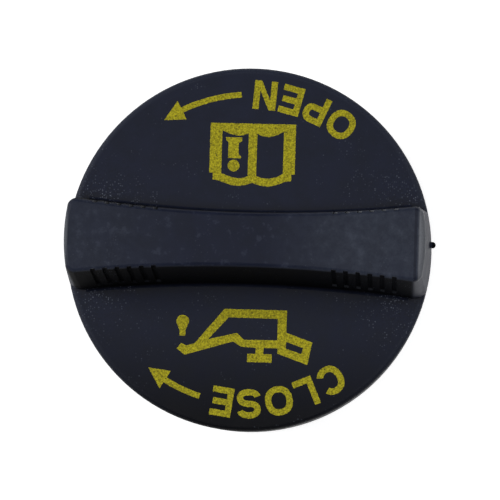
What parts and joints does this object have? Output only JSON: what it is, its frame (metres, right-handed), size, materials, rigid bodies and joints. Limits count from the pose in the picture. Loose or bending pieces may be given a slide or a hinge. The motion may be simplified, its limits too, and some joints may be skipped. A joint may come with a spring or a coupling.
{
  "type": "oil filler cap",
  "caption": "Moulded quarter-turn cap for an engine's oil filler neck, with a fluted bar handle, bayonet stem and sealing ring.",
  "frame": {"origin": "centre of the sealing plane, where the ring's lower face meets the rim of the filler neck", "axes": "+Z along the cap's axis, away from the engine; the bar handle runs along X, with the gate pip at its +X end; -Z is the way into the neck"},
  "size_m": [0.0606, 0.06, 0.0405],
  "materials": {
    "moulding": "fine spark-eroded grain",
    "seal": "moulded elastomer"
  },
  "bodies": {
    "root": {"cap_body": "moulding", "sealing_ring": "seal"}
  },
  "joints": []
}
